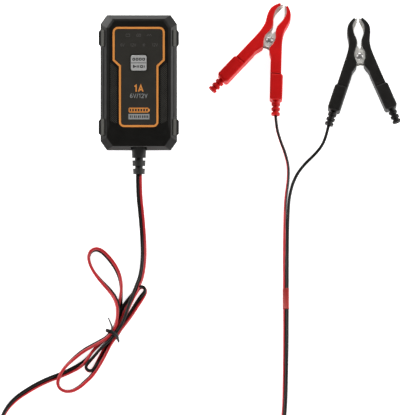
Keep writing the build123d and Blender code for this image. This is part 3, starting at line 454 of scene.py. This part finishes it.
def core_line(own, sign):
    """One core's centreline, and the pair's own line and roll beside it."""
    places, extras = twin_points(own)
    line, beside = nurbs_line(places), nurbs_line(extras)
    core, pair = [], []
    for place, ahead, (roll, seat, spread) in zip(line, tangents(line), beside):
        side = Vector((0, 0, 1)).cross(ahead).normalized()
        drop = seat * CORE_R * MM * (1 - abs(math.sin(roll)) * spread)
        middle = place - Vector((0, 0, drop))
        reach = sign * CORE_APART * MM * spread
        across = side * math.cos(roll) + Vector((0, 0, math.sin(roll)))
        centre = middle + across * reach
        centre.z = max(centre.z, CORE_R * MM)
        core.append(centre)
        pair.append((middle, across, spread))
    return core, pair


def mark_painted_shade(obj, line, rings, shade_bands):
    """Marks the band of painted shade round a core, from its facing and half-width per ring."""
    shade_band = obj.data.attributes.new("shade_band", "FLOAT", "POINT")
    values = []
    for place, ring, (facing, half) in zip(line, rings, shade_bands):
        for point in ring:
            away = math.degrees((point - place).angle(facing))
            values.append(min(1.0, max(0.0, 0.5 + (half - away) / SHADE_EDGE)))
    shade_band.data.foreach_set("value", values)


def add_core(name, own, sign, mat, shade_bands=None):
    """One core of the lead, from the gland to its clip. Gives back the pair's own line."""
    line, pair = core_line(own, sign)
    sides = [Vector((0, 0, 1)).cross(ahead).normalized() for ahead in tangents(line)]
    rings = round_rings(line, CORE_R * MM, 14, sides)
    points, faces = skin(rings)
    obj = add_mesh(name, points, faces, mat)
    if shade_bands:
        mark_painted_shade(obj, line, rings, shade_bands(line, pair))
    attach(obj, "charger")
    wire = "positive_wire" if sign > 0 else "negative_wire"
    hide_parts("lead_upper", "lead_hank", "lead_lower", wire)
    return pair


def red_painted_shade(line, pair):
    """The painted shade along the red core: a black band against the black core, and turning up to the
    clip.
    """
    shade_bands = []
    fork_y, clip_y = RED_ROUTE[0][1] * MM, RED_ROUTE[-1][1] * MM
    for place, ahead, (_, across, spread) in zip(line, tangents(line), pair):
        side = Vector((0, 0, 1)).cross(ahead).normalized()
        share = min(1.0, max(0.0, (place.y - fork_y) / (clip_y - fork_y)))
        turn = math.radians(SHADE_AT_FORK + (SHADE_AT_CLIP - SHADE_AT_FORK) * share)
        alone = side * math.cos(turn) + Vector((0, 0, math.sin(turn)))
        facing = across * -spread + alone * (1 - spread)
        shade_bands.append((facing, SHADE_HALF_PAIR + (SHADE_HALF_ALONE - SHADE_HALF_PAIR) * (1 - spread)))
    return shade_bands


def pair_at(pair, y):
    """The pair's middle and the way across it, where its last run passes a given y."""
    for (a, across_a, _), (b, across_b, _) in zip(pair[::-1], pair[-2::-1]):
        if b.y <= y <= a.y:
            share = (y - b.y) / (a.y - b.y)
            return b.lerp(a, share), across_b.lerp(across_a, share).normalized()


def add_sleeve(pair):
    """The short shrunk sleeve, drawn snugly round the pair."""
    rings = []
    for i in range(SLEEVE_STEPS + 1):
        share = i / SLEEVE_STEPS
        middle, across = pair_at(pair, (SLEEVE_AT_Y + (share - 0.5) * SLEEVE_LENGTH) * MM)
        near_end = min(share, 1 - share)
        flare = 0.25 * math.exp(-near_end * 40)
        ripple = 0.10 * math.sin(share * 37.0) + 0.07 * math.sin(share * 71.0 + 1.0)
        r = CORE_R + SLEEVE_WALL * (0.85 + flare + ripple)
        up = Vector((0, 1, 0)).cross(across).normalized()
        ring = []
        for j in range(SLEEVE_SIDES):
            t = 2 * math.pi * j / SLEEVE_SIDES
            shift = CORE_APART if math.cos(t) >= 0 else -CORE_APART
            waist = 1 - SLEEVE_WAIST * (1 - abs(math.cos(t))) ** 2
            local = across * (shift + r * math.cos(t)) + up * (r * waist * math.sin(t))
            ring.append(middle + local * MM)
        rings.append(ring)
    points, faces = skin(rings)
    sleeve = add_mesh("marker_sleeve_shrunk", points, faces, MATS["shrink_red"])
    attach(sleeve, "charger")
    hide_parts("marker_sleeve")


# The tie ----------------------------------------------------------------------------------

TIE_SECTION = [(-1.45, 0.02), (-0.5, 0.1), (0.0, 0.4), (0.5, 0.1), (1.45, 0.02), (1.45, -0.22),
               (0.5, -0.24), (0.0, -0.3), (-0.5, -0.24), (-1.45, -0.22)]


def tie_place(along, across, z):
    """A place beside the tie: along the bundle, across it and up, in metres."""
    turn = math.radians(TIE_ANGLE)
    x = TIE_AT[0] + along * math.cos(turn) - across * math.sin(turn)
    y = TIE_AT[1] + along * math.sin(turn) + across * math.cos(turn)
    return Vector((x, y, z)) * MM


def ribbon(line, twist, narrow=1.0, start=0.0):
    """Rings of the tie's paper ribbon along a line, turning as it goes."""
    rings = []
    reach = len(line) - 1
    for i, (place, ahead) in enumerate(zip(line, tangents(line))):
        side = ahead.cross(Vector((0, 0, 1)))
        side = (side if side.length > 0.05 else ahead.cross(Vector((1, 0, 0)))).normalized()
        over = side.cross(ahead)
        turn = start + twist * i / reach
        wide = side * math.cos(turn) + over * math.sin(turn)
        thick = over * math.cos(turn) - side * math.sin(turn)
        rings.append([place + (wide * (w * narrow) + thick * t) * MM for w, t in TIE_SECTION])
    return rings


def tie_band():
    """The tie's closed band, squarish in section, round the whole bundle."""
    middle_z, half_z = (TIE_LOW + TIE_HIGH) / 2, (TIE_HIGH - TIE_LOW) / 2
    centre = tie_place(0, 0, 0)
    along = (tie_place(1, 0, 0) - centre).normalized()
    power = 2 / TIE_SQUARENESS
    rings = []
    for i in range(TIE_STEPS):
        t = 2 * math.pi * i / TIE_STEPS
        c, z = math.cos(t), math.sin(t)
        across = TIE_HALF * math.copysign(abs(c) ** power, c)
        up = half_z * math.copysign(abs(z) ** power, z)
        outward = (tie_place(0, c / TIE_HALF, z / half_z) - centre).normalized()
        place = tie_place(TIE_LEAN * math.sin(t), across, middle_z + up)
        rings.append([place + (along * w + outward * h) * MM for w, h in TIE_SECTION])
    return skin(rings, closed=True)


def add_tie():
    """The twist tie: a ribbed ribbon round the bundle, twisted at one side, with two free ends."""
    pieces = [tie_band()]
    knot = [tie_place(*(a + b * i for a, b in zip(KNOT_START, KNOT_STEP))) for i in range(KNOT_STEPS)]
    for start in (0.0, math.pi / 3, 2 * math.pi / 3):
        pieces.append(skin(ribbon(knot, 2.4 * math.pi, 0.95, start)))
    free_end = nurbs_line([tie_place(*place) for place in TIE_FREE_END])
    pieces.append(skin(ribbon(free_end, 0.35 * math.pi, 0.45)))
    back_end = nurbs_line([tie_place(*place) for place in TIE_BACK_END])
    pieces.append(skin(ribbon(back_end, 0.3 * math.pi, 0.8)))
    points, faces = joined(pieces)
    tie = add_mesh("twist_tie", points, faces, MATS["tie_black"])
    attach(tie, "charger")
    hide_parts("lead_tie")


def joined(pieces):
    """Several runs of points and faces as one."""
    points, faces = [], []
    for more_points, more_faces in pieces:
        base = len(points)
        points += more_points
        faces += [tuple(base + k for k in face) for face in more_faces]
    return points, faces


# The clips' springs -----------------------------------------------------------------------

def spring_route():
    """The spring's centreline in the clip's own millimetres: an arm, the coil and an arm."""
    end_x, end_y = SPRING_ARM_END
    shares = [i / SPRING_ARM_STEPS for i in range(SPRING_ARM_STEPS + 1)]
    arm = [(SPRING_R + (end_x - SPRING_R) * share, end_y * share) for share in shares]
    route = [(-x, y, -SPRING_ARM_Z) for x, y in arm[:0:-1]]
    for i in range(SPRING_COIL_STEPS + 1):
        share = i / SPRING_COIL_STEPS
        turn = math.pi - 2 * math.pi * SPRING_TURNS * share
        rise = SPRING_ARM_Z * (2 * share - 1)
        route.append((SPRING_R * math.cos(turn), SPRING_R * math.sin(turn), rise))
    return route + [(x, y, SPRING_ARM_Z) for x, y in arm[1:]]


def add_spring(clip):
    """A torsion spring: a helix round the rivet, with an arm into each handle."""
    (x, y, z), turned, side = CLIPS[clip]
    stand = Matrix.Translation(Vector((x, y, z)) * MM) @ Matrix.Rotation(math.radians(turned), 4, "Z")
    line = [stand @ (Vector((side * px, py, pz)) * MM) for px, py, pz in spring_route()]
    points, faces = skin(round_rings(line, SPRING_WIRE_R * MM, 10))
    spring = add_mesh(clip + "_spring_wire", points, faces, MATS["spring_steel"])
    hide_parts(clip + "_spring")
    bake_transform(spring)


# The face ---------------------------------------------------------------------------------

# A numeral's or letter's width and strokes, for a height of 1.
GLYPHS = {
    "1": (0.42, [[(0.04, 0.76), (0.26, 0.97), (0.26, 0.0)]]),
    "2": (0.58, [[(0.02, 0.78), (0.12, 0.95), (0.4, 0.97), (0.54, 0.8), (0.5, 0.58), (0.04, 0.03),
                  (0.58, 0.03)]]),
    "6": (0.58, [[(0.5, 0.9), (0.3, 0.97), (0.1, 0.8), (0.03, 0.35), (0.14, 0.07), (0.4, 0.03),
                  (0.54, 0.2), (0.48, 0.46), (0.28, 0.54), (0.08, 0.42)]]),
    "A": (0.66, [[(0.0, 0.0), (0.33, 0.97), (0.66, 0.0)], [(0.14, 0.3), (0.52, 0.3)]]),
    "V": (0.62, [[(0.0, 0.98), (0.31, 0.02), (0.62, 0.98)]]),
    "/": (0.32, [[(0.0, -0.06), (0.32, 1.04)]]),
}


def written(text, middle_x, low_y, high, gap=0.16):
    """The strokes of a short rating, centred on middle_x, in the face's millimetres."""
    width = sum(GLYPHS[c][0] for c in text) + gap * (len(text) - 1)
    x = middle_x - width * high / 2
    strokes = []
    for c in text:
        wide, lines = GLYPHS[c]
        strokes += [[(x + px * high, low_y + py * high) for px, py in line] for line in lines]
        x += (wide + gap) * high
    return strokes


def box_line(x, y, half_x, half_y):
    """A closed frame's strokes."""
    corners = [(x - half_x, y - half_y), (x + half_x, y - half_y), (x + half_x, y + half_y),
               (x - half_x, y + half_y)]
    return [[a, b] for a, b in zip(corners, corners[1:] + corners[:1])]


def stroke_solid(line, width, z0, z1):
    """A thin raised stroke along a polyline on the face, mitred at its corners."""
    flat = [Vector((x, y)) for x, y in line]
    last = len(flat) - 1
    left, right = [], []
    for i, point in enumerate(flat):
        before = (point - flat[max(i - 1, 0)]) if i else (flat[1] - point)
        after = (flat[min(i + 1, last)] - point) if i < last else (point - flat[i - 1])
        before, after = before.normalized(), after.normalized()
        normal = Vector((-before.y - after.y, before.x + after.x))
        normal = normal.normalized() if normal.length > 0.01 else Vector((-after.y, after.x))
        spread = width / 2 / max(0.45, normal.dot(Vector((-after.y, after.x))))
        left.append(point + normal * spread)
        right.append(point - normal * spread)
    rings = []
    for a, b in zip(left, right):
        rings.append([STAND @ (Vector(p) * MM) for p in ((*a, z0), (*b, z0), (*b, z1), (*a, z1))])
    return skin(rings)


def add_strokes(name, strokes, width, mat, body="charger", z0=FACE_Z - 0.05, z1=FACE_Z + 0.06):
    """Printed or moulded strokes, and strokes of painted shade, on the face as one thin raised piece."""
    points, faces = joined([stroke_solid(line, width, z0, z1) for line in strokes])
    piece = add_mesh(name, points, faces, MATS[mat], smooth=False)
    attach(piece, body)


def battery_icon(x, y, half_x, half_y):
    """A plain battery sign: its case and its two posts."""
    strokes = box_line(x, y, half_x, half_y)
    for side in (-1, 1):
        post = x + side * half_x * 0.55
        strokes.append([(post - 0.25, y + half_y + 0.3), (post + 0.25, y + half_y + 0.3)])
    return strokes


def snow_icon(x, y, reach):
    """A plain six-armed snowflake."""
    arms = []
    for turn in (0, 60, 120):
        c, s = math.cos(math.radians(turn)) * reach, math.sin(math.radians(turn)) * reach
        arms.append([(x - c, y - s), (x + c, y + s)])
    return arms


def add_indicator_signs():
    """The two rows of faint signs beside the status lamps."""
    row, low = 37.5, 28.7
    signs = battery_icon(-8.6, row, 1.5, 0.9) + battery_icon(0.0, row, 1.6, 0.9)
    signs += [[(-0.9, row), (0.9, row)], [(0.0, row - 0.4), (0.0, row + 0.4)]]
    signs += [[(6.5, 36.9), (7.6, 38.3), (8.3, 37.3), (9.4, 38.4), (10.2, 36.9)]]
    signs += written("6V", -12.9, low, 2.3) + written("12V", -4.4, low, 2.3)
    signs += snow_icon(4.1, 29.9, 1.3) + written("12V", 12.8, low, 2.3)
    add_strokes("print_indicator_signs", signs, 0.38, "print_faint")


def add_ratings():
    """The current and the voltages that the charger gives."""
    current, voltages = written("1A", 0.0, -7.2, 5.2, 0.22), written("6V/12V", 0.0, -12.2, 3.3, 0.2)
    add_strokes("print_current", current, 1.05, "accent_orange")
    add_strokes("print_voltages", voltages, 0.42, "print_pale")


def add_charge_bars():
    """The orange battery with its cells, and the pale bar of ticks below it."""
    cell = box_line(0.0, -21.9, 7.6, 1.5) + [[(8.4, -22.7), (8.4, -21.1)]]
    cell += [[(x, -22.8), (x, -21.0)] for x in (-5.6, -3.4, -1.2, 1.0, 3.2, 5.4)]
    add_strokes("print_charge_bar", cell, 0.8, "accent_orange")
    add_strokes("print_badge", [[(-8.1, -27.1), (8.5, -27.1)]], 4.3, "print_pale")
    ticks = (-6.6, -5.2, -3.4, -2.0, -0.2, 1.2, 3.0, 4.4, 5.8, 7.2)
    bars = [[(x, -28.1), (x, -26.1)] for x in ticks]
    add_strokes("print_badge_bars", bars, 0.7, "dark_print_and_painted_shade", z0=FACE_Z, z1=FACE_Z + 0.1)


def add_button_marks():
    """The signs on the button's two halves, and painted shade as a dark floor in the groove between
    them.
    """
    top, low = BUTTON_AT_Y + 2.9, BUTTON_AT_Y - 2.9
    signs = []
    for x in (-3.9, -1.3, 1.3, 3.9):
        signs += box_line(x, top, 0.75, 0.8)
    signs += [[(-4.2, low - 0.9), (-4.2, low + 0.9), (-2.5, low), (-4.2, low - 0.9)]]
    signs += [[(x, low - 0.9), (x, low + 0.9)] for x in (-1.2, 0.0)]
    signs += box_line(2.3, low, 0.8, 0.8) + [[(4.4, low - 0.9), (4.4, low + 0.9)]]
    add_strokes("print_button_signs", signs, 0.6, "dark_print_and_painted_shade", "button",
                BUTTON_TOP_Z - 0.04, BUTTON_TOP_Z + 0.05)
    # Painted shade: a dark strip in the groove between the button's halves.
    add_strokes("button_groove_painted_shade", [[(-6.0, BUTTON_AT_Y), (6.0, BUTTON_AT_Y)]], 0.46, "dark_print_and_painted_shade",
                "button", BUTTON_TOP_Z - 0.32, BUTTON_TOP_Z - 0.1)


def clipped(start, way, corners):
    """The part of a line inside a convex outline, or None."""
    low, high = -1e9, 1e9
    middle = sum((Vector(c) for c in corners), Vector((0, 0))) / len(corners)
    for a, b in zip(corners, corners[1:] + corners[:1]):
        a, b = Vector(a), Vector(b)
        inward = Vector((-(b - a).y, (b - a).x))
        inward *= 1 if inward.dot(middle - a) > 0 else -1
        speed, depth = inward.dot(way), inward.dot(start - a)
        if abs(speed) < 1e-9:
            if depth < 0:
                return None
        elif speed > 0:
            low = max(low, -depth / speed)
        else:
            high = min(high, -depth / speed)
    return (start + way * low, start + way * high) if high - low > 0.6 else None


def add_grip_ribs():
    """The fine slanting ribs moulded in both grips."""
    pitch, margin = 1.6, 0.35
    middle = Vector((19.95, -9.0))
    for side, name in ((-1, "left"), (1, "right")):
        corners = []
        for corner in GRIP_CORNERS:
            inward = middle - Vector(corner)
            corners.append((side * (corner[0] + math.copysign(margin, inward.x)),
                            corner[1] + math.copysign(margin, inward.y)))
        way = Vector((side * 0.72, -0.69))
        ribs = []
        for i in range(56):
            found = clipped(Vector((side * middle.x, 22.0 - pitch * i)), way, corners)
            if found:
                ribs.append([tuple(found[0]), tuple(found[1])])
        add_strokes("grip_ribs_" + name, ribs, 0.5, "grip_black",
                    z0=GRIP_FLOOR_Z - 0.05, z1=GRIP_FLOOR_Z + 0.3)


def add_bevel_lines():
    """The fine dark bead along each side bevel, between the bumpers: painted shade for the bevel's
    groove.
    """
    (x0, z0), (x1, z1) = BEVEL_LINE
    lift = 0.16
    for side, name in ((-1, "left"), (1, "right")):
        ring_plan = [(x0, z0 - lift), (x0 + lift, z0 + lift), (x1 + lift, z1 + lift), (x1, z1 - lift)]
        rings = []
        for y in (-BEVEL_LINE_Y, BEVEL_LINE_Y):
            rings.append([STAND @ (Vector((side * x, y, z)) * MM) for x, z in ring_plan])
        points, faces = skin(rings)
        # Painted shade: a dark strip where the bevel's groove falls in shade.
        bead = add_mesh("bevel_groove_shade_" + name, points, faces, MATS["dark_print_and_painted_shade"], smooth=False)
        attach(bead, "charger")


pair_line = add_core("lead_positive_core", RED_ROUTE, 1, MATS["core_red"],
                     red_painted_shade)
add_core("lead_negative_core", BLACK_ROUTE, -1, MATS["core_black"])
add_sleeve(pair_line)
add_tie()
for clip_name in CLIPS:
    add_spring(clip_name)
dress_cad()
add_indicator_signs()
add_ratings()
add_charge_bars()
add_button_marks()
add_grip_ribs()
add_bevel_lines()


# Studio ------------------------------------------------------------------------------------

VIEW_UP = 90.0 - TILT
VIEW_MIDDLE = Vector((0.0487, -0.0852, 0.0))
VIEW_HEIGHT = 0.332
LENS = 500.0
FLOOR_GLOW, TENT_SIDES, TENT_TOP = 0.9, 0.85, 0.0


def add_camera():
    """The camera looks squarely at the charger's face."""
    data = bpy.data.cameras.new("camera")
    data.lens = LENS
    data.clip_end = 50.0
    cam = bpy.data.objects.new("camera", data)
    bpy.context.scene.collection.objects.link(cam)
    up = math.radians(VIEW_UP)
    back = Vector((0, -math.cos(up), math.sin(up)))
    cam.location = VIEW_MIDDLE + back * (VIEW_HEIGHT * LENS / data.sensor_width)
    cam.rotation_euler = (-back).to_track_quat("-Z", "Y").to_euler()
    bpy.context.scene.camera = cam


def add_softbox(name, place, size, watts, colour=(1, 1, 1)):
    """One soft rectangular light that faces the middle of the set."""
    data = bpy.data.lights.new(name, "AREA")
    data.shape = "RECTANGLE"
    data.size, data.size_y = size
    data.energy = watts
    data.color = colour
    lamp = bpy.data.objects.new(name, data)
    bpy.context.scene.collection.objects.link(lamp)
    lamp.location = place
    aim = Vector((0.04, -0.09, 0.0)) - Vector(place)
    lamp.rotation_euler = aim.to_track_quat("-Z", "Y").to_euler()


def add_surround():
    """A light tent: bright round the sides and dark overhead."""
    world = bpy.data.worlds.new("surround")
    world.use_nodes = True
    tree = world.node_tree
    sky = tree.nodes["Background"]
    place = tree.nodes.new("ShaderNodeTexCoord")
    split = tree.nodes.new("ShaderNodeSeparateXYZ")
    tree.links.new(place.outputs["Generated"], split.inputs["Vector"])
    level = ranged(tree, split.outputs["Z"], TENT_SIDES, TENT_TOP, 0.08, 0.6)
    tree.links.new(level, sky.inputs["Strength"])
    sky.inputs["Color"].default_value = (1, 1, 1, 1)
    bpy.context.scene.world = world


def add_studio():
    """The pale floor, the even surround and four soft lights."""
    half = 3.0
    mat, tree, shader, where = links_of("floor_paper")
    tint = noise(tree, where, 6, 3.0)
    colours = blended(tree, ranged(tree, tint, 0, 1), (0.9, 0.9, 0.9), (0.915, 0.915, 0.915))
    tree.links.new(colours, shader.inputs["Base Color"])
    shader.inputs["Roughness"].default_value = 0.95
    shader.inputs["Specular IOR Level"].default_value = 0.1
    shader.inputs["Emission Color"].default_value = (1, 1, 1, 1)
    shader.inputs["Emission Strength"].default_value = FLOOR_GLOW
    corners = [(-half, -half, 0), (half, -half, 0), (half, half, 0), (-half, half, 0)]
    floor = add_mesh("floor", corners, [(0, 1, 2, 3)], mat, smooth=False)
    add_surround()
    add_softbox("key_left", (-0.95, 0.35, 0.55), (0.6, 0.5), 7.5)
    add_softbox("fill_right", (1.05, 0.15, 0.55), (0.5, 0.6), 7)
    add_softbox("back_top", (0.0, 1.05, 0.45), (1.0, 0.35), 7)
    add_softbox("front_low", (0.05, -1.15, 0.45), (0.9, 0.35), 5)
    bpy.context.scene.view_settings.view_transform = "Standard"


add_camera()
add_studio()
